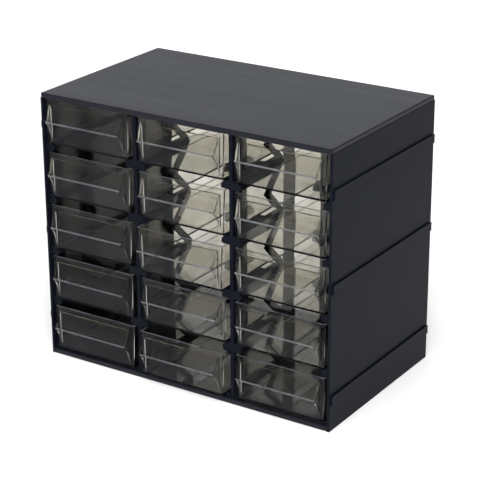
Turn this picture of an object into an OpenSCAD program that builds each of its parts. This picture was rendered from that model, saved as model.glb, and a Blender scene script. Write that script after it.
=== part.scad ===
// Parts bin cabinet: an open-backed plastic housing with clear drawers in a grid.
// X runs across the cabinet, Y from its front to its back, Z up. Inside the modules Y = 0 is the
// housing's front edge; seat() then puts the origin under the middle of the whole cabinet.

/* [Housing] */
// Width of the housing over its side walls, without the coupling rails
body_w = 308; // [280:1:340]
// Depth of the housing, front edge to back
body_d = 183; // [170:1:220]
// Height of the housing
body_h = 260; // [245:1:300]
// Thickness of each side wall
side_t = 2.4; // [2:0.1:3]
// Thickness of the top and bottom panels
panel_t = 4.5; // [4:0.1:5.5]
// Thickness of those panels inside their rims
panel_web = 2.3; // [1.8:0.1:3]
// Width of the panels' rims, and of their lands on each side of a divider
panel_rim = 12; // [10:0.5:16]
// How far the top panel stops short of the side walls' outer faces
top_inset = 0.5; // [0.2:0.1:0.9]
// Bevel along the outer edges of the top and bottom panels
edge_bevel = 0.8; // [0.4:0.1:1.5]
// Radius of the top panel's corners in plan
corner_r = 1.5; // [1:0.1:3]

/* [Drawer grid] */
// Number of drawers side by side
columns = 3; // [2:1:4]
// Number of drawers one above the other
rows = 5; // [4:1:6]
// Running gap between a drawer's underside and the ledges that carry it
run_gap = 0.2; // [0.1:0.05:0.5]
// Gap between a drawer and the ledges above it
head_gap = 0.85; // [0.5:0.05:1.5]
// Gap between a top-row drawer and the top panel
top_gap = 0.9; // [0.6:0.1:1.5]
// Gap between a drawer and the housing on each side, at its top edge
side_gap = 3.2; // [2.6:0.1:4]
// Gap between a closed drawer and the rear frame
stop_gap = 1.5; // [0.8:0.1:3]
// How far the drawers that aren't pushed home stand out
ajar = 4.5; // [0:0.5:8]

/* [Column dividers] */
// Thickness of each column divider
divider_t = 3.5; // [2.5:0.1:4.5]
// How far the dividers' front edges stand behind the housing's front edge
divider_setback = 3.4; // [2.5:0.1:5]
// Depth of the upright at the front of a divider
front_post_d = 14.6; // [10:0.1:20]
// Depth of the upright at the back of a divider
rear_post_d = 22.5; // [16:0.5:30]
// Height of a divider's top and bottom rails
divider_rail_h = 8; // [6:0.5:12]
// Distance from the front edge to the zigzag rib's forward corners
zigzag_near = 57.5; // [50:0.5:62]
// Distance from the front edge to the zigzag rib's corners at the ledges
zigzag_far = 83.5; // [76:0.5:92]
// Width of the zigzag rib, measured from front to back
zigzag_w = 8; // [6:0.5:10]
// Width of the flare along a divider's top edge, each side
flare_w = 4.2; // [3:0.1:5]
// Height of that flare
flare_h = 2; // [1.5:0.1:2.5]

/* [Drawer ledges] */
// How far a ledge reaches under the drawer from its wall
ledge_w = 8.4; // [7:0.1:10]
// Height of a ledge where it meets its wall
ledge_h = 8; // [6:0.1:9]
// Height of a ledge's nose
ledge_nose_h = 4.2; // [3:0.1:5]
// Width of the bevel above a ledge's nose
ledge_bevel = 3.2; // [2:0.1:4]
// Height of the lowest ledges above the bottom panel
base_rise = 2.7; // [2:0.1:4]
// Distance from the front edge to the back end of the front ledges
ledge_end = 60; // [50:1:70]

/* [Rear frame] */
// Thickness of the rear frame
rear_t = 2.5; // [2:0.1:3.5]
// Width of the rear frame's uprights
rear_post_w = 12; // [9:0.5:16]
// Height of the rear frame's rails
rear_rail_h = 10; // [8:0.5:14]

/* [Coupling rails] */
// How far the rails stand out from the side walls
rail_out = 1.8; // [1.2:0.1:2.2]
// Height of a rail on the right side
right_rail_h = 10; // [8:0.5:12]
// Height of a rail on the left side
left_rail_h = 8; // [6.5:0.5:10]
// Height of the lowest right rail's underside above the floor
rail_low_z = 24; // [18:1:30]
// Spacing from the lowest right rail to the middle one
rail_mid_up = 104.5; // [95:0.5:110]
// Spacing from the lowest right rail to the top one
rail_top_up = 190; // [180:1:195]
// Gap left between a left rail and the right rail that it hooks over
hook_gap = 1.9; // [1.5:0.1:3]
// Distance from the front edge to the front ends of the rails
rail_start = 2; // [1:0.5:6]
// Width of the groove behind the hooked edge of a right rail
rail_groove = 0.8; // [0.5:0.1:1]
// Depth of that groove
rail_groove_d = 1.6; // [1:0.1:3]

/* [Drawers] */
// How far the drawers' front plates stand behind the housing's front edge
drawer_recess = 1.3; // [0.5:0.1:2.5]
// Wall thickness of a drawer
drawer_wall = 1.5; // [1.2:0.1:2]
// Thickness of a drawer's floor
drawer_floor = 1.6; // [1.2:0.1:2.5]
// How much narrower each side of a drawer is at its floor than at its top
drawer_draft = 1.2; // [0.6:0.1:1.8]
// Radius of a drawer's outer edges
drawer_edge_r = 0.8; // [0.4:0.1:1.5]
// Radius of the fillets inside a drawer, along its floor and in its corners
drawer_fillet_r = 0.8; // [0.4:0.1:0.9]
// Height of the upright band along the top of a drawer's front plate
front_band_h = 4.6; // [4:0.2:8]
// Width of the flat margin on each side of the pull
pull_margin = 4.5; // [3:0.5:8]
// How far the pull stands out from the front plate
pull_out = 9; // [7:0.5:12]
// Height of the pull's nose above the drawer's underside
pull_nose_z = 23.1; // [20:0.5:26]
// Height of the flat edge along the pull's nose
pull_nose_h = 1.6; // [0.8:0.1:2]
// Depth of the shoulder between the front plate and the pull's sloping face
pull_step = 1.2; // [0.6:0.1:2]
// Height at which the finger hollow under the pull begins
pull_low_z = 8.6; // [6:0.2:11]
// How much narrower each end of the pull is at its nose
pull_taper = 1.2; // [0.5:0.1:2]

/* [Tongue joints] */
// Length of each locating tongue
tongue_l = 12; // [8:1:18]
// Height of each locating tongue
tongue_h = 2; // [1.2:0.1:2.4]
// Thickness of each locating tongue
tongue_t = 1; // [0.8:0.1:1.2]
// Depth of the tongues on the bottom panel's side edges
edge_tongue = 1.1; // [0.8:0.1:1.2]
// Clearance round each tongue
tongue_gap = 0.15; // [0.1:0.05:0.25]
// Distance from the housing's front and back edges to the end tongues' middles
tongue_inset = 22; // [18:1:30]

/* [Hidden] */
$fn = 48;
cut = 1; // how far a cutting solid runs past the face that it opens
root = 0.5; // how deep a tongue starts inside the piece that carries it
housing_colour = [0.13, 0.14, 0.17];
drawer_colour = [0.82, 0.84, 0.82, 0.45];

top_z = body_h - panel_t;
wall_x = body_w / 2 - side_t;
bay_w = (2 * wall_x - (columns - 1) * divider_t) / columns;
bay_pitch = bay_w + divider_t;
rear_y = body_d - rear_t;
rear_post_y = rear_y - rear_post_d;
pull_reach = pull_out - drawer_recess;

first_drawer_z = panel_t + base_rise + run_gap;
stack_h = top_z - top_gap - first_drawer_z;
row_pitch = (stack_h + run_gap + ledge_h + head_gap) / rows;
drawer_h = row_pitch - run_gap - ledge_h - head_gap;
drawer_w = bay_w - 2 * side_gap;
drawer_back_y = rear_y - stop_gap;
pull_half_w = drawer_w / 2 - pull_margin;
// The side walls' upper tongues are flush with their inner faces, so that the top panel covers them.
wall_tongue_x = wall_x + tongue_t / 2;

function bay_x(c) = (c - (columns + 1) / 2) * bay_pitch;
function divider_x(i) = bay_x(i) + bay_pitch / 2;
// Row 1 is the top row. In the middle column two drawers aren't pushed home.
function drawer_out(r, c) = c == 2 && (r == 3 || r == 5) ? ajar : 0;
function drawer_z(r) = first_drawer_z + (rows - r) * row_pitch;
function ledge_z(r) = drawer_z(r) - run_gap;
function tongue_y(i) = tongue_inset + i * (body_d - 2 * tongue_inset) / 2;
function drawer_name(r, c) = str("drawer_r", r, "_c", c);
function divider_name(i) = str("column_divider_", i);
function arc(x, y, r, a0, a1, n = 6) =
    [for (i = [0 : n]) [x + r * cos(a0 + (a1 - a0) * i / n), y + r * sin(a0 + (a1 - a0) * i / n)]];

// Moves the housing's front edge so that the origin lies under the middle of the whole cabinet,
// from the noses of the drawers that stand out most to the back.
module seat() translate([0, (pull_reach + ajar - body_d) / 2, 0]) children();

// Extrudes an outline drawn in X and Z from y0 to y1.
module along_y(y0, y1) translate([0, y1, 0]) rotate([90, 0, 0]) linear_extrude(y1 - y0) children();

// Extrudes an outline drawn in Y and Z from x0 to x1.
module along_x(x0, x1) translate([x0, 0, 0]) rotate([90, 0, 90]) linear_extrude(x1 - x0) children();

module block(low, high) translate(low) cube(high - low);

// Rectangle with round corners, from its low corner to its high corner.
module round_rect(low, high, r) polygon(concat(
    arc(high[0] - r, high[1] - r, r, 0, 90),
    arc(low[0] + r, high[1] - r, r, 90, 180),
    arc(low[0] + r, low[1] + r, r, 180, 270),
    arc(high[0] - r, low[1] + r, r, 270, 360)
));

// Tongues that stand on a level edge and run along Y; grow = tongue_gap makes their pockets.
module edge_tongues(x, z, up, grow = 0) for (i = [0 : 2]) {
    start = grow > 0 ? grow : root;
    translate([x, tongue_y(i), z])
        block([-tongue_t / 2 - grow, -tongue_l / 2 - grow, up > 0 ? -start : -tongue_h - grow],
              [tongue_t / 2 + grow, tongue_l / 2 + grow, up > 0 ? tongue_h + grow : start]);
}

// Tongues on the bottom panel's side edges; side is -1 on the left and 1 on the right.
module side_tongues(side, grow = 0) for (i = [0 : 2])
    translate([side * wall_x, tongue_y(i), panel_t / 2]) scale_x(side)
        block([grow > 0 ? -grow : -root, -tongue_l / 2 - grow, -tongue_t / 2 - grow],
              [edge_tongue + grow, tongue_l / 2 + grow, tongue_t / 2 + grow]);

module scale_x(side) mirror([side < 0 ? 1 : 0, 0, 0]) children();

// Tongues of the rear frame, at the bottom (up = -1) or at the top (up = 1).
module frame_tongues(up, grow = 0) for (i = [1 : columns]) {
    start = grow > 0 ? grow : root;
    translate([bay_x(i), rear_y + rear_t / 2, up > 0 ? top_z : panel_t])
        block([-tongue_l / 2 - grow, -rear_t / 4 - grow, up > 0 ? -start : -tongue_h - grow],
              [tongue_l / 2 + grow, rear_t / 4 + grow, up > 0 ? tongue_h + grow : start]);
}

// ---- ledges that carry the drawers ----

// Section of a ledge on a wall that faces +X, with its top at z = 0 and its underside at -h.
module ledge_section(h) polygon([
    [0, -h],
    [ledge_w, -min(h, ledge_bevel + ledge_nose_h)],
    [ledge_w, -min(ledge_bevel, h / 2)],
    [ledge_w - ledge_bevel, 0],
    [0, 0]
]);

// Front and rear ledges of every row on one wall; side is the way they point along X.
module ledges(x, side) for (r = [1 : rows])
    translate([x, 0, ledge_z(r)]) scale_x(side) {
        h = r == rows ? base_rise : ledge_h;
        along_y(divider_setback, ledge_end) ledge_section(h);
        along_y(rear_post_y, rear_y) ledge_section(h);
    }

// ---- housing ----

// Shallow pans inside the rims of a panel, one over each column of drawers.
module bay_pans(low, high) for (c = [1 : columns])
    translate([bay_x(c), 0, 0])
        block([panel_rim - bay_w / 2, panel_rim, low], [bay_w / 2 - panel_rim, rear_y - panel_rim, high]);

// Cover plate with bevelled upper edges, pans beneath and pockets for the tongues of every wall.
module top_panel() color(housing_colour) {
    half = body_w / 2 - top_inset;
    difference() {
        intersection() {
            translate([0, 0, top_z]) linear_extrude(panel_t)
                round_rect([-half, 0], [half, body_d], corner_r);
            along_y(-cut, body_d + cut) polygon([
                [-half, top_z], [half, top_z], [half, body_h - edge_bevel],
                [half - edge_bevel, body_h], [edge_bevel - half, body_h], [-half, body_h - edge_bevel]
            ]);
            along_x(-half, half) polygon([
                [0, top_z], [body_d, top_z], [body_d, body_h - edge_bevel],
                [body_d - edge_bevel, body_h], [edge_bevel, body_h], [0, body_h - edge_bevel]
            ]);
        }
        bay_pans(top_z - cut, body_h - panel_web);
        for (side = [-1, 1]) edge_tongues(side * wall_tongue_x, top_z, 1, tongue_gap);
        for (i = [1 : columns - 1]) edge_tongues(divider_x(i), top_z, 1, tongue_gap);
        frame_tongues(1, tongue_gap);
    }
}

// Base between the side walls: pans above, pockets for the dividers and the rear frame.
module bottom_panel() color(housing_colour) {
    difference() {
        along_x(-wall_x, wall_x) polygon([
            [edge_bevel, 0], [body_d, 0], [body_d, panel_t], [edge_bevel / 2, panel_t],
            [0, panel_t - edge_bevel / 2], [0, edge_bevel]
        ]);
        bay_pans(panel_web, panel_t + cut);
        for (i = [1 : columns - 1]) edge_tongues(divider_x(i), panel_t, -1, tongue_gap);
        frame_tongues(-1, tongue_gap);
    }
    for (side = [-1, 1]) side_tongues(side);
}

// Section of a coupling rail on the right side: bevelled below, hooked above by a groove.
module right_rail_section() polygon([
    [0, 0], [rail_out, rail_out], [rail_out, right_rail_h],
    [rail_groove, right_rail_h], [rail_groove, right_rail_h - rail_groove_d],
    [0, right_rail_h - rail_groove_d]
]);

// Section of a coupling rail on the left side, drawn pointing to +X: flat below, bevelled above.
module left_rail_section() polygon([
    [0, 0], [rail_out, 0], [rail_out, left_rail_h - rail_out], [0, left_rail_h]
]);

// Side wall, drawn on the right; its upper edge carries tongues for the top panel.
module side_wall() {
    difference() {
        linear_extrude(top_z) polygon([
            [wall_x, 0], [wall_x + side_t - top_inset, 0], [wall_x + side_t, top_inset],
            [wall_x + side_t, body_d - top_inset], [wall_x + side_t - top_inset, body_d],
            [wall_x, body_d]
        ]);
        side_tongues(1, tongue_gap);
    }
    edge_tongues(wall_tongue_x, top_z, 1);
}

module right_side_panel() color(housing_colour) {
    side_wall();
    ledges(wall_x, -1);
    for (up = [0, rail_mid_up, rail_top_up])
        translate([body_w / 2, 0, rail_low_z + up])
            along_y(rail_start, body_d - rail_start) right_rail_section();
}

// The left rails hook over the right rails of a second cabinet; the middle one hooks under.
module left_side_panel() color(housing_colour) {
    mirror([1, 0, 0]) side_wall();
    ledges(-wall_x, 1);
    over = right_rail_h + hook_gap;
    for (z = [rail_low_z + over,
              rail_low_z + rail_mid_up - left_rail_h + hook_gap,
              rail_low_z + rail_top_up + over])
        translate([-body_w / 2, 0, z]) mirror([1, 0, 0])
            along_y(rail_start, body_d - rail_start) left_rail_section();
}

// ---- column dividers ----

// Middle height of the clear space between two ledges, and of each ledge: the zigzag's corners.
function bay_top(r) = r == 1 ? top_z - divider_rail_h : ledge_z(r - 1) - ledge_h;
function bay_low(r) = r == rows ? panel_t + divider_rail_h : ledge_z(r);
function bay_mid(r) = (bay_top(r) + bay_low(r)) / 2;

// Front face of the zigzag rib in row r, at height z: nearest at mid height, farthest at the ledges.
function zigzag_y(r, z) = zigzag_near
    + (zigzag_far - zigzag_near) * abs(z - bay_mid(r)) / (row_pitch / 2);

// Window in front of the zigzag rib in one row.
module front_window(r) {
    near = divider_setback + front_post_d;
    polygon([
        [near, bay_low(r)], [zigzag_y(r, bay_low(r)), bay_low(r)], [zigzag_near, bay_mid(r)],
        [zigzag_y(r, bay_top(r)), bay_top(r)], [near, bay_top(r)]
    ]);
}

// Tall opening between the zigzag rib and the rear upright.
module rear_window() polygon(concat(
    [[rear_post_y, bay_low(rows)], [rear_post_y, bay_top(1)]],
    [for (r = [1 : rows]) each [
        [zigzag_w + zigzag_y(r, bay_top(r)), bay_top(r)],
        [zigzag_w + zigzag_near, bay_mid(r)],
        [zigzag_w + zigzag_y(r, bay_low(r)), bay_low(r)]
    ]]
));

// Lattice wall between two columns, with ledges on both faces and tongues above and below.
module column_divider(i) color(housing_colour) {
    x = divider_x(i);
    along_x(x - divider_t / 2, x + divider_t / 2) difference() {
        translate([divider_setback, panel_t]) square([rear_y - divider_setback, top_z - panel_t]);
        for (r = [1 : rows]) front_window(r);
        rear_window();
    }
    for (side = [-1, 1]) {
        ledges(x + side * divider_t / 2, side);
        translate([x + side * divider_t / 2, 0, top_z]) scale_x(side)
            along_y(divider_setback, rear_y) polygon([[0, 0], [0, -flare_h], [flare_w, 0]]);
    }
    edge_tongues(x, top_z, 1);
    edge_tongues(x, panel_t, -1);
}

// ---- rear frame ----

// Open frame across the back: uprights at both ends and in the middle stop the drawers.
module rear_frame() color(housing_colour) {
    along_y(rear_y, body_d) difference() {
        translate([-wall_x, panel_t]) square([2 * wall_x, top_z - panel_t]);
        for (side = [-1, 1]) scale_x(side)
            translate([rear_post_w / 2, panel_t + rear_rail_h])
                square([wall_x - 1.5 * rear_post_w, top_z - panel_t - 2 * rear_rail_h]);
    }
    for (up = [-1, 1]) frame_tongues(up);
}

// ---- drawers ----

// The finger hollow under the pull is an arc that leaves the front plate upright at
// pull_low_z and ends at the nose; its chord sets its radius.
hollow_rise = pull_nose_z - pull_nose_h / 2 - pull_low_z;
hollow_r = (pull_out * pull_out + hollow_rise * hollow_rise) / (2 * pull_out);

// Front view of a drawer, shrunk by t and with lower corners of radius r, from z = low up.
module drawer_front_view(t, r, low, high) {
    top_half = drawer_w / 2 - t;
    low_half = top_half - drawer_draft * (1 - low / drawer_h);
    lean = atan(drawer_draft / drawer_h);
    polygon(concat(
        [[-top_half, high], [top_half, high]],
        arc(low_half - r, low + r, r, -lean, -90, 8),
        arc(r - low_half, low + r, r, -90, lean - 180, 8)
    ));
}

// Side view of a drawer, shrunk by t: front plate, shoulder, sloping face, nose and finger hollow.
module drawer_side_view(t, r, low, high) {
    plate_y = drawer_recess + t;
    back = drawer_back_y - t;
    shoulder = [drawer_recess - pull_step, drawer_h - front_band_h];
    nose = [drawer_recess - pull_out, pull_nose_z + pull_nose_h / 2];
    slope = shoulder - nose;
    inward = [slope[1], -slope[0]] * t / norm(slope);
    lowered = t + inward[1];
    difference() {
        polygon(concat(
            arc(plate_y + r, low + r, r, 180, 270),
            arc(back - r, low + r, r, 270, 360),
            [
                [back, high], [plate_y, high], [plate_y, shoulder[1] - t],
                shoulder + inward - lowered * [slope[0] / slope[1], 1],
                nose + inward, nose + inward - [0, pull_nose_h], [plate_y, pull_low_z]
            ]
        ));
        translate([drawer_recess - hollow_r, pull_low_z]) circle(hollow_r + t, $fn = 96);
    }
}

// Plan view of a drawer, shrunk by t: the box with corners of radius r, and the narrower pull.
module drawer_plan_view(t, r) {
    half = drawer_w / 2 - t;
    plate_y = drawer_recess + t;
    back = drawer_back_y - t;
    pull = pull_half_w - t;
    nose_y = drawer_recess - pull_out;
    polygon(concat(
        arc(r - half, plate_y + r, r, 180, 270),
        [[-pull, plate_y], [-pull, drawer_recess], [pull_taper - pull, nose_y],
         [pull - pull_taper, nose_y], [pull, drawer_recess], [pull, plate_y]],
        arc(half - r, plate_y + r, r, 270, 360),
        arc(half - r, back - r, r, 0, 90),
        arc(r - half, back - r, r, 90, 180)
    ));
}

module drawer_form(t, r, low, high) intersection() {
    along_y(drawer_recess - pull_out - cut, body_d) drawer_front_view(t, r, low, high);
    along_x(-drawer_w, drawer_w) drawer_side_view(t, r, low, high);
    linear_extrude(high + cut) drawer_plan_view(t, r);
}

// One clear drawer: a shell open above, whose hollow runs into the pull.
module drawer(r, c) color(drawer_colour) translate([bay_x(c), -drawer_out(r, c), drawer_z(r)])
    difference() {
        drawer_form(0, drawer_edge_r, 0, drawer_h);
        drawer_form(drawer_wall, drawer_fillet_r, drawer_floor, drawer_h + cut);
    }

seat() top_panel();
seat() bottom_panel();
seat() left_side_panel();
seat() right_side_panel();
seat() rear_frame();
for (i = [1 : columns - 1]) seat() column_divider(i);
for (r = [1 : rows]) for (c = [1 : columns])
    seat() drawer(r, c);
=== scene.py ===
"""Parts bin cabinet: a dark moulded housing with an open back, and clear sliding drawers."""

import math

import bpy
from mathutils import Matrix, Vector

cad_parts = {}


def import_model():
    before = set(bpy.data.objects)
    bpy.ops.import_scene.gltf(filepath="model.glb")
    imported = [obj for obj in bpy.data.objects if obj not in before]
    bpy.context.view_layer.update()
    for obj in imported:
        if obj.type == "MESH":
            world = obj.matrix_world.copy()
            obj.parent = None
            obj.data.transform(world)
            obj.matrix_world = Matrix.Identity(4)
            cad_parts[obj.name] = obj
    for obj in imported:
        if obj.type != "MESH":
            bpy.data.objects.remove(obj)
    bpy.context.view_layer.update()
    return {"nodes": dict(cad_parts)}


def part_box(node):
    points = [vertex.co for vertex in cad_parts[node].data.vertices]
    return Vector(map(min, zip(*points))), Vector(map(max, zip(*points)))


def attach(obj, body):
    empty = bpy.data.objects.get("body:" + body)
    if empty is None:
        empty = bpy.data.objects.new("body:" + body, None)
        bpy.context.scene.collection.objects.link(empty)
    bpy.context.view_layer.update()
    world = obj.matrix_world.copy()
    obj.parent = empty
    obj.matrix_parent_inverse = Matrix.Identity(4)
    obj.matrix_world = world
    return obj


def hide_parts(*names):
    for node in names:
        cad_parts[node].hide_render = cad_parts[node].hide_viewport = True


MM = 0.001

# Sizes of a drawer, in metres, from its own middle line and its underside.
DRAWER_HALF_W = 46.1667 * MM
DRAWER_DRAFT = 1.2 * MM
DRAWER_H = 42.2 * MM
WALL = 1.5 * MM
PULL_HALF_W = 41.6667 * MM
PULL_TAPER = 1.2 * MM
PULL_OUT = 9.0 * MM
PULL_STEP = 1.2 * MM
PULL_TOP_Z = 37.6 * MM
NOSE_HIGH_Z = 23.9 * MM
NOSE_LOW_Z = 22.3 * MM
CHEEK_FOOT_Z = 1.8 * MM
LIP_APEX_Z = 36.6 * MM
LIP_EDGE = 1.6 * MM
# Top of the band on which an amber glint of light is painted.
PAINTED_GLINT_TOP_Z = 41.2 * MM
ARC_STEPS = 12

# Rounding asked for at a drawer's edges, where they are sharper than the angle in degrees.
# The bevel comes out far smaller, with a radius of about 0.033 mm.
EDGE_R = 0.65 * MM
EDGE_STEPS = 3
EDGE_ANGLE = 28

# Steps of the modelling: how far the front and the finger space are first pushed, how near
# points are merged, up to how many degrees faces count as flat, and where the sorting starts.
LIFT = 1.0 * MM
PUSH = 50 * MM
MERGE = 0.01 * MM
FLAT_ANGLE = 0.5
SORT_POINT = (0.0137, 0.0291, 0.0073)

# Allowances for picking out vertices and faces by their place or their normal.
CLOSE = 0.05 * MM
OFF_FRONT = 0.01 * MM
OFF_RIM = 0.1 * MM
OFF_BAND = 0.2 * MM
BAND_DEPTH = 0.3 * MM
NOSE_FROM = 0.9
SQUARE_ON = 0.99
EDGE_FACE_W = 1.1 * EDGE_R

# Slots of a drawer's materials, in the order in which they are given to it.
# The first slot holds a painted amber glint of light.
# The second slot holds the edge material, whose light colour is a painted highlight.
PAINTED_GLINT_SLOT, PAINTED_HIGHLIGHT_SLOT = 1, 2

# Finish of the housing.
UPRIGHT_IOR = 1.12
TOP_IOR = 1.25
DARK_BASE = (0.0036, 0.0045, 0.0085)
LIGHT_BASE = (0.0065, 0.0075, 0.0120)
TOP_DUST = 0.004
UPRIGHT_STREAKS = (9, 3, 60)
TOP_STREAKS = (3, 40, 9)
SATIN_ROUGHNESS = (0.34, 0.42)
GRAIN_BUMP = (0.12, 0.00006)

# Finish of the drawers.
CLEAR_IOR = 1.40
CLEAR_TINT = (0.880, 0.872, 0.838)
CLEAR_TINT_DEEP = (0.862, 0.854, 0.822)
# The amber colour is a painted glint of light along the top of the lip.
PAINTED_GLINT_TINT = (0.80, 0.60, 0.28)
# The edge colour is a painted highlight: the light lines along the drawers' edges; how clear the
# edge is varies by the spread below.
PAINTED_EDGE_HIGHLIGHT = (0.40, 0.42, 0.48)
EDGE_CLEAR = 0.88
EDGE_HIGHLIGHT_SPREAD = 0.12
EDGE_ROUGHNESS = (0.62, 0.50)
WAVE_BUMP = (0.006, 0.0004)
SCUFF_STRETCH = (9, 2, 9)
SCUFF_ROUGHNESS = (0.0, 0.05)
CLEAR_MIRROR = (0.14, 0.15, 0.19, 1)

# Noise patterns: scale, detail and roughness.
STREAK_NOISE = (1.0, 5.0, 0.6)
GRAIN_NOISE = (1400.0, 2.0, 0.5)
WAVE_NOISE = (45.0, 2.0, 0.5)
SCUFF_NOISE = (60.0, 6.0, 0.65)
CLEAR_PATCHES = (45.0, 2.0, 0.5)
# The amber patches are those of the painted glint.
PAINTED_GLINT_PATCHES = (14.0, 2.0, 0.5)
# This noise sets the edges' roughness and how much of their painted highlight shows.
RUB_AND_HIGHLIGHT_NOISE = (160.0, 4.0, 0.6)
EVEN = (1, 1, 1)

# The part of a noise's values that is used.
STREAK_SPAN = (0.35, 0.7)
PATCH_SPAN = (0.38, 0.62)
SCUFF_SPAN = (0.5, 0.85)
MIDDLE_SPAN = (0.3, 0.7)
WHOLE = (0.0, 1.0)

# Sockets of a Mix node that is set to colours.
MIX_SHARE, MIX_FIRST, MIX_SECOND, MIX_RESULT = 0, 6, 7, 2

# Studio.
FLOOR_COLOUR = (0.93, 0.93, 0.93, 1)
FLOOR_ROUGHNESS = 0.9
FLOOR_SIZE, FLOOR_PLACE = 16, (0, 2, -0.0002)
WORLD_COLOUR = (1.0, 0.99, 0.97, 1)
WORLD_STRENGTH = 0.30
FRONT_AIM, BACK_AIM = (0, 0.2, 0.1), (0, 0, 0.2)
KEY_PLACE, KEY_SIZE, KEY_POWER = (2.94, -4.47, 2.80), (2.2, 2.2), 330
OVER_PLACE, OVER_SIZE, OVER_POWER = (0.3, -0.8, 2.2), (1.8, 1.8), 45
BACK_PLACE, BACK_SIZE, BACK_POWER = (-1.4, 2.4, 1.3), (2.6, 1.4), 10
BACK_COLOUR = (0.90, 0.92, 1.0)
FAR_PLACE, FAR_SIZE, FAR_POWER, FAR_SPREAD = (-0.9, 1.7, 1.6), (2.4, 1.2), 16, 80
FAR_TILT = 0.01
LIGHT_BOUNCES, CLEAR_BOUNCES, SEE_THROUGH_BOUNCES = 40, 36, 16

# Camera: angles in radians, distances in metres, the lens in pixels of a square frame.
CAMERA_YAW, CAMERA_PITCH, CAMERA_ROLL = 0.580898, 0.375304, -0.006464
CAMERA_DISTANCE, CAMERA_RIGHT, CAMERA_UP = 1.61271, 0.0008126, -0.0100504
LENS_PIXELS, FRAME_PIXELS = 1730.515, 477
SENSOR_WIDTH = 36
FARTHEST_SEEN = 50


# ---------------------------------------------------------------- modelling helpers


def deselect_everything():
    if bpy.context.object and bpy.context.object.mode != "OBJECT":
        bpy.ops.object.mode_set(mode="OBJECT")
    bpy.ops.object.select_all(action="DESELECT")


def make_active(piece):
    deselect_everything()
    piece.select_set(True)
    bpy.context.view_layer.objects.active = piece


def new_box(name, low, high):
    """A cube primitive that fills the space between two corners, with its place in its mesh."""
    deselect_everything()
    centre = [(a + b) / 2 for a, b in zip(low, high)]
    size = [b - a for a, b in zip(low, high)]
    bpy.ops.mesh.primitive_cube_add(size=1, location=centre, scale=size)
    piece = bpy.context.object
    piece.name = piece.data.name = name
    bpy.ops.object.transform_apply(location=True, rotation=True, scale=True)
    return piece


def choose(piece, kind, test):
    """Selects only the vertices or faces that pass the test; leaves edit mode on."""
    bpy.ops.object.mode_set(mode="EDIT")
    bpy.ops.mesh.select_mode(type=kind)
    bpy.ops.mesh.select_all(action="DESELECT")
    bpy.ops.object.mode_set(mode="OBJECT")
    items = piece.data.vertices if kind == "VERT" else piece.data.polygons
    for item in items:
        item.select = test(item)
    bpy.ops.object.mode_set(mode="EDIT")


def cut_across(axis, place):
    """Bisects the whole mesh with a plane square to one axis; runs in edit mode."""
    bpy.ops.mesh.select_all(action="SELECT")
    spot = [0, 0, 0]
    normal = [0, 0, 0]
    spot[axis] = place
    normal[axis] = 1
    bpy.ops.mesh.bisect(plane_co=spot, plane_no=normal)


def narrow(share):
    """Narrows what is selected towards the middle line."""
    bpy.ops.transform.resize(value=(share, 1, 1), center_override=(0, 0, 0))


def extrude(move):
    bpy.ops.mesh.extrude_region_move(TRANSFORM_OT_translate={"value": move})


def fix_order():
    """Sorts the mesh by distance from one point, so that every run builds the same shape."""
    bpy.context.scene.cursor.location = SORT_POINT
    bpy.ops.mesh.select_all(action="SELECT")
    bpy.ops.mesh.sort_elements(type="CURSOR_DISTANCE", elements={"VERT", "EDGE", "FACE"})


def near(a, b):
    return abs(a - b) < CLOSE


# ---------------------------------------------------------------- clear drawers


def cheek_arc():
    """(height, reach) of a cheek's hollow lower edge, from its foot to the lip's lower edge."""
    rise = NOSE_LOW_Z - CHEEK_FOOT_Z
    radius = (PULL_OUT**2 + rise**2) / (2 * PULL_OUT)
    end = math.asin(rise / radius)
    angles = [end * i / ARC_STEPS for i in range(ARC_STEPS + 1)]
    return [(CHEEK_FOOT_Z + radius * math.sin(a), radius - radius * math.cos(a)) for a in angles]


def finger_space():
    """(height, reach) behind the lip: up the front plate, then down the lip's back."""
    half = ARC_STEPS // 2
    plate = [(CHEEK_FOOT_Z + (LIP_APEX_Z - CHEEK_FOOT_Z) * i / half, 0) for i in range(half + 1)]
    edge = PULL_OUT - LIP_EDGE
    drop = NOSE_LOW_Z - LIP_APEX_Z
    lip = [(LIP_APEX_Z + drop * i / half, edge * i / half) for i in range(1, half + 1)]
    return plate + lip


def taper(reach):
    """Width of the pull at a reach, as a share of its width at the front plate."""
    return (PULL_HALF_W - PULL_TAPER * reach / PULL_OUT) / PULL_HALF_W


def raise_pull(piece, front_y, profile):
    """Extrudes the front between the cheeks' outer faces and moves it to the pull's profile."""
    choose(
        piece,
        "FACE",
        lambda f: f.normal.y < -SQUARE_ON
        and abs(f.center.x) < PULL_HALF_W
        and CHEEK_FOOT_Z < f.center.z < PULL_TOP_Z,
    )
    extrude((0, -LIFT, 0))
    fix_order()
    for height, reach in profile:
        choose(piece, "VERT", lambda v: v.co.y < front_y - 0.5 * LIFT and near(v.co.z, height))
        narrow(taper(reach))
        bpy.ops.transform.translate(value=(0, LIFT - reach, 0))


def open_finger_space(piece, front_y, arc):
    """Pushes the pull's underside in between the cheeks, so that the lip is left open below."""
    choose(
        piece,
        "FACE",
        lambda f: f.center.y < front_y - OFF_FRONT
        and abs(f.center.x) < PULL_HALF_W - 2 * WALL
        and f.center.z < NOSE_LOW_Z,
    )
    extrude((0, PUSH, 0))
    fix_order()
    for (height, reach), (new_height, new_reach) in zip(arc, finger_space()):
        choose(
            piece,
            "VERT",
            lambda v: front_y + 0.6 * PUSH < v.co.y < front_y + 1.2 * PUSH and near(v.co.z, height),
        )
        narrow(taper(new_reach) / taper(reach))
        bpy.ops.transform.translate(value=(0, reach - new_reach - PUSH, new_height - height))
    bpy.ops.mesh.select_all(action="SELECT")
    bpy.ops.mesh.remove_doubles(threshold=MERGE)
    fix_order()
    bpy.ops.mesh.dissolve_limited(angle_limit=math.radians(FLAT_ANGLE))


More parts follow.
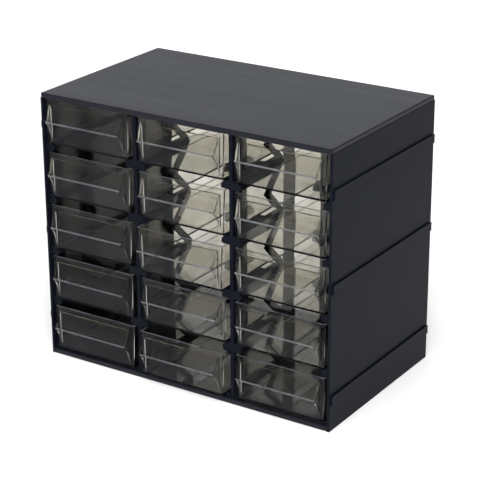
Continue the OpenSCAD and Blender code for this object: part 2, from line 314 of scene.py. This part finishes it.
def hollow_out(piece):
    """Sinks the tub's inside from its rim down to the floor, with the draft of the outside."""
    choose(piece, "FACE", lambda f: f.normal.z > SQUARE_ON and f.center.z > DRAWER_H - OFF_RIM)
    bpy.ops.mesh.inset(thickness=WALL, depth=0)
    extrude((0, 0, WALL - DRAWER_H))
    inner = DRAWER_HALF_W - WALL
    narrow((inner - DRAWER_DRAFT) / inner)
    bpy.ops.mesh.select_all(action="SELECT")
    bpy.ops.mesh.normals_make_consistent(inside=False)
    fix_order()
    bpy.ops.object.mode_set(mode="OBJECT")


def round_edges(piece):
    """Bevels the sharp edges, as far as the modifier's limit on overlaps lets it."""
    soften = piece.modifiers.new("soft_edges", "BEVEL")
    soften.width = EDGE_R
    soften.segments = EDGE_STEPS
    soften.limit_method = "ANGLE"
    soften.angle_limit = math.radians(EDGE_ANGLE)
    bpy.ops.object.modifier_apply(modifier="soft_edges")


def model_drawer(front_y, back_y):
    """A drawer about x = 0 and z = 0: a drafted tub with a lip between two cheeks on its front."""
    piece = new_box("drawer", (-DRAWER_HALF_W, front_y, 0), (DRAWER_HALF_W, back_y, DRAWER_H))
    choose(piece, "VERT", lambda v: v.co.z < OFF_RIM)
    narrow((DRAWER_HALF_W - DRAWER_DRAFT) / DRAWER_HALF_W)

    arc = cheek_arc()
    profile = arc + [(NOSE_HIGH_Z, PULL_OUT), (PULL_TOP_Z, PULL_STEP)]
    for height, _ in profile:
        cut_across(2, height)
    for side in (-1, 1):
        cut_across(0, side * PULL_HALF_W)
        cut_across(0, side * (PULL_HALF_W - WALL))

    raise_pull(piece, front_y, profile)
    open_finger_space(piece, front_y, arc)
    hollow_out(piece)
    round_edges(piece)
    return piece


def give(piece, slot, test):
    """Gives the faces that pass the test the material in a slot."""
    choose(piece, "FACE", test)
    piece.active_material_index = slot
    bpy.ops.object.material_slot_assign()
    bpy.ops.object.mode_set(mode="OBJECT")


def paint_glint_band(piece, front_y):
    """Paints an amber glint of light on the band of the front plate above the lip, and on the lip's
    shoulder.
    """
    give(
        piece,
        PAINTED_GLINT_SLOT,
        lambda f: front_y - PULL_STEP - OFF_BAND < f.center.y < front_y + BAND_DEPTH
        and PULL_TOP_Z - OFF_BAND < f.center.z < PAINTED_GLINT_TOP_Z
        and abs(f.center.x) < PULL_HALF_W,
    )


def paint_highlight_strips(piece, front_y):
    """Gives the nose of the lip and the drawer's flat rim the edge material, whose light colour is
    a painted highlight.
    """
    give(
        piece,
        PAINTED_HIGHLIGHT_SLOT,
        lambda f: (f.normal.y < -SQUARE_ON and f.center.y < front_y - NOSE_FROM * PULL_OUT)
        or (f.normal.z > SQUARE_ON and f.center.z > DRAWER_H - OFF_RIM),
    )


def smooth_edges_and_paint_highlight(piece):
    """Gives the narrow strips of the bevel the edge material, whose light colour is a painted
    highlight, and smooths them; the walls stay flat and bend no light.
    """
    give(piece, PAINTED_HIGHLIGHT_SLOT, lambda f: f.area / max_side(piece, f) < EDGE_FACE_W)
    bpy.ops.object.mode_set(mode="EDIT")
    bpy.ops.mesh.faces_shade_smooth()
    bpy.ops.object.mode_set(mode="OBJECT")


def max_side(piece, face):
    """The longest distance between two corners of a face."""
    corners = [piece.data.vertices[i].co for i in face.vertices]
    return max((a - b).length for a in corners for b in corners)


def copy_to(pattern, name, move):
    make_active(pattern)
    bpy.ops.object.duplicate(linked=False)
    piece = bpy.context.object
    piece.name = piece.data.name = name
    piece.location = move
    bpy.ops.object.transform_apply(location=True, rotation=True, scale=True)
    return piece


def build_drawers(nodes, finishes):
    """Models one drawer, finishes it and puts a copy of it at every drawer's place."""
    low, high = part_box("drawer_r1_c1")
    front_y = low.y + PULL_OUT
    pattern = model_drawer(front_y, high.y)
    for finish in finishes:
        pattern.data.materials.append(finish)
    smooth_edges_and_paint_highlight(pattern)
    paint_glint_band(pattern, front_y)
    paint_highlight_strips(pattern, front_y)
    for name in sorted(nodes):
        if not name.startswith("drawer_"):
            continue
        a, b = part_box(name)
        place = ((a.x + b.x) / 2, a.y - low.y, a.z)
        piece = copy_to(pattern, name.replace("drawer", "clear_drawer"), place)
        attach(piece, name)
        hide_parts(name)
    make_active(pattern)
    bpy.ops.object.delete()


# ---------------------------------------------------------------- materials


def new_material(name):
    """A new material, its node tree and its shader."""
    material = bpy.data.materials.new(name)
    material.use_nodes = True
    return material, material.node_tree, material.node_tree.nodes["Principled BSDF"]


def node(tree, kind, **settings):
    """A new node; a setting goes to the socket of its name, or else to the node itself."""
    made = tree.nodes.new(kind)
    for name, value in settings.items():
        if name in made.inputs:
            made.inputs[name].default_value = value
        else:
            setattr(made, name, value)
    return made


def noise(tree, stretch, pattern):
    """Noise on Object coordinates, stretched so that it has its own scale along each axis."""
    place = node(tree, "ShaderNodeTexCoord")
    mapping = node(tree, "ShaderNodeMapping", Scale=stretch)
    tree.links.new(place.outputs["Object"], mapping.inputs["Vector"])
    scale, detail, rough = pattern
    made = node(tree, "ShaderNodeTexNoise", Scale=scale, Detail=detail, Roughness=rough)
    tree.links.new(mapping.outputs["Vector"], made.inputs["Vector"])
    return made.outputs["Fac"]


def fit_range(tree, value, span, target):
    """Stretches the part of a pattern that lies in a span over a target range."""
    made = node(tree, "ShaderNodeMapRange")
    for socket, number in zip(("From Min", "From Max", "To Min", "To Max"), (*span, *target)):
        made.inputs[socket].default_value = number
    tree.links.new(value, made.inputs["Value"])
    return made.outputs["Result"]


def blend_colours(tree, share, first, second):
    made = node(tree, "ShaderNodeMix", data_type="RGBA")
    made.inputs[MIX_FIRST].default_value = (*first, 1)
    made.inputs[MIX_SECOND].default_value = (*second, 1)
    tree.links.new(share, made.inputs[MIX_SHARE])
    return made.outputs[MIX_RESULT]


def bump(tree, height, strength, distance):
    made = node(tree, "ShaderNodeBump", Strength=strength, Distance=distance)
    tree.links.new(height, made.inputs["Height"])
    return made.outputs["Normal"]


def satin_black_plastic(name, stretch, ior, dust=0.0):
    """Blue-black moulded plastic with long faint streaks, a fine grain and a little dust."""
    material, tree, shader = new_material(name)
    streaks = noise(tree, stretch, STREAK_NOISE)
    grain = noise(tree, EVEN, GRAIN_NOISE)
    share = fit_range(tree, streaks, STREAK_SPAN, WHOLE)
    light = tuple(value + dust for value in LIGHT_BASE)
    tree.links.new(blend_colours(tree, share, DARK_BASE, light), shader.inputs["Base Color"])
    rough = fit_range(tree, streaks, MIDDLE_SPAN, SATIN_ROUGHNESS)
    tree.links.new(rough, shader.inputs["Roughness"])
    tree.links.new(bump(tree, grain, *GRAIN_BUMP), shader.inputs["Normal"])
    shader.inputs["IOR"].default_value = ior
    return material


def clear_plastic(name, tint_low, tint_high, patch_noise):
    """Clear polystyrene, tinted in patches, with fine scuffs and slightly wavy walls."""
    material, tree, shader = new_material(name)
    shader.inputs["Transmission Weight"].default_value = 1.0
    shader.inputs["IOR"].default_value = CLEAR_IOR
    shader.inputs["Specular Tint"].default_value = CLEAR_MIRROR
    wave = noise(tree, EVEN, WAVE_NOISE)
    scuff = noise(tree, SCUFF_STRETCH, SCUFF_NOISE)
    share = fit_range(tree, noise(tree, EVEN, patch_noise), PATCH_SPAN, WHOLE)
    tree.links.new(blend_colours(tree, share, tint_low, tint_high), shader.inputs["Base Color"])
    tree.links.new(fit_range(tree, scuff, SCUFF_SPAN, SCUFF_ROUGHNESS), shader.inputs["Roughness"])
    tree.links.new(bump(tree, wave, *WAVE_BUMP), shader.inputs["Normal"])
    return material


def edge_plastic_with_painted_highlight(name):
    """Moulded edge of a clear drawer: rough and partly clear, with a light colour that is a painted
    highlight along its whole length.
    """
    material, tree, shader = new_material(name)
    rub_and_highlight = noise(tree, EVEN, RUB_AND_HIGHLIGHT_NOISE)
    clear = fit_range(tree, rub_and_highlight, MIDDLE_SPAN, (EDGE_CLEAR - EDGE_HIGHLIGHT_SPREAD, EDGE_CLEAR + EDGE_HIGHLIGHT_SPREAD))
    tree.links.new(clear, shader.inputs["Transmission Weight"])
    tree.links.new(fit_range(tree, rub_and_highlight, MIDDLE_SPAN, EDGE_ROUGHNESS), shader.inputs["Roughness"])
    shader.inputs["Base Color"].default_value = (*PAINTED_EDGE_HIGHLIGHT, 1)
    shader.inputs["IOR"].default_value = CLEAR_IOR
    return material


def dress_housing(nodes):
    upright = satin_black_plastic("satin_black_upright", UPRIGHT_STREAKS, UPRIGHT_IOR)
    flat = satin_black_plastic("satin_black_top", TOP_STREAKS, TOP_IOR, TOP_DUST)
    for name, piece in nodes.items():
        if name.startswith("drawer_"):
            continue
        piece.data.materials.clear()
        piece.data.materials.append(flat if name in ("top_panel", "bottom_panel") else upright)


# ---------------------------------------------------------------- floor, light and camera


def add_floor():
    deselect_everything()
    bpy.ops.mesh.primitive_plane_add(size=FLOOR_SIZE, location=FLOOR_PLACE)
    floor = bpy.context.object
    floor.name = "pale_floor"
    bpy.ops.object.transform_apply(location=True, rotation=True, scale=True)
    material, _, shader = new_material("pale_floor")
    shader.inputs["Base Color"].default_value = FLOOR_COLOUR
    shader.inputs["Roughness"].default_value = FLOOR_ROUGHNESS
    floor.data.materials.append(material)


def add_light(name, place, aim, size, power, spread=180, colour=(1, 1, 1)):
    lamp = bpy.data.lights.new(name, "AREA")
    lamp.shape = "RECTANGLE"
    lamp.size, lamp.size_y = size
    lamp.energy = power
    lamp.color = colour
    lamp.spread = math.radians(spread)
    holder = bpy.data.objects.new(name, lamp)
    bpy.context.scene.collection.objects.link(holder)
    holder.location = place
    holder.rotation_euler = (Vector(aim) - Vector(place)).to_track_quat("-Z", "Y").to_euler()


def add_studio_light():
    world = bpy.data.worlds.new("studio")
    bpy.context.scene.world = world
    world.use_nodes = True
    background = world.node_tree.nodes["Background"]
    background.inputs["Color"].default_value = WORLD_COLOUR
    background.inputs["Strength"].default_value = WORLD_STRENGTH
    add_light("key_light", KEY_PLACE, FRONT_AIM, KEY_SIZE, KEY_POWER)
    add_light("over_light", OVER_PLACE, FRONT_AIM, OVER_SIZE, OVER_POWER)
    add_light("back_light", BACK_PLACE, BACK_AIM, BACK_SIZE, BACK_POWER, colour=BACK_COLOUR)
    below = (FAR_PLACE[0], FAR_PLACE[1] + FAR_TILT, 0)
    add_light("far_floor_light", FAR_PLACE, below, FAR_SIZE, FAR_POWER, FAR_SPREAD)


def add_camera(middle):
    """Long lens, from the right and above; middle is the centre of the housing."""
    yaw, pitch, roll = CAMERA_YAW, CAMERA_PITCH, CAMERA_ROLL
    level = math.cos(pitch)
    look = Vector((-math.sin(yaw) * level, math.cos(yaw) * level, -math.sin(pitch)))
    right = Vector((math.cos(yaw), math.sin(yaw), 0))
    up = right.cross(look)
    right_2 = math.cos(roll) * right + math.sin(roll) * up
    up_2 = -math.sin(roll) * right + math.cos(roll) * up
    lens = bpy.data.cameras.new("camera")
    lens.sensor_width = SENSOR_WIDTH
    lens.lens = LENS_PIXELS * SENSOR_WIDTH / FRAME_PIXELS
    lens.clip_end = FARTHEST_SEEN
    camera = bpy.data.objects.new("camera", lens)
    bpy.context.scene.collection.objects.link(camera)
    place = middle + CAMERA_RIGHT * right_2 + CAMERA_UP * up_2 - CAMERA_DISTANCE * look
    turn = Matrix((right_2, up_2, -look)).transposed().to_4x4()
    camera.matrix_world = Matrix.Translation(place) @ turn
    bpy.context.scene.camera = camera


def main():
    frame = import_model()
    nodes = frame["nodes"]
    low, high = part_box("right_side_panel")
    add_camera(Vector((0, (low.y + high.y) / 2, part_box("top_panel")[1].z / 2)))
    add_floor()
    add_studio_light()
    dress_housing(nodes)
    clear = clear_plastic("clear_polystyrene", CLEAR_TINT, CLEAR_TINT_DEEP, CLEAR_PATCHES)
    # A copy of the clear plastic whose patches go over to amber: a painted glint of light.
    painted_glint = clear_plastic("painted_amber_glint", CLEAR_TINT, PAINTED_GLINT_TINT, PAINTED_GLINT_PATCHES)
    # The third finish is the edge material, whose light colour is a painted highlight.
    build_drawers(nodes, (clear, painted_glint, edge_plastic_with_painted_highlight("painted_highlight_edge")))
    scene = bpy.context.scene
    scene.view_settings.view_transform = "Standard"
    scene.cycles.max_bounces = LIGHT_BOUNCES
    scene.cycles.transmission_bounces = CLEAR_BOUNCES
    scene.cycles.transparent_max_bounces = SEE_THROUGH_BOUNCES


main()
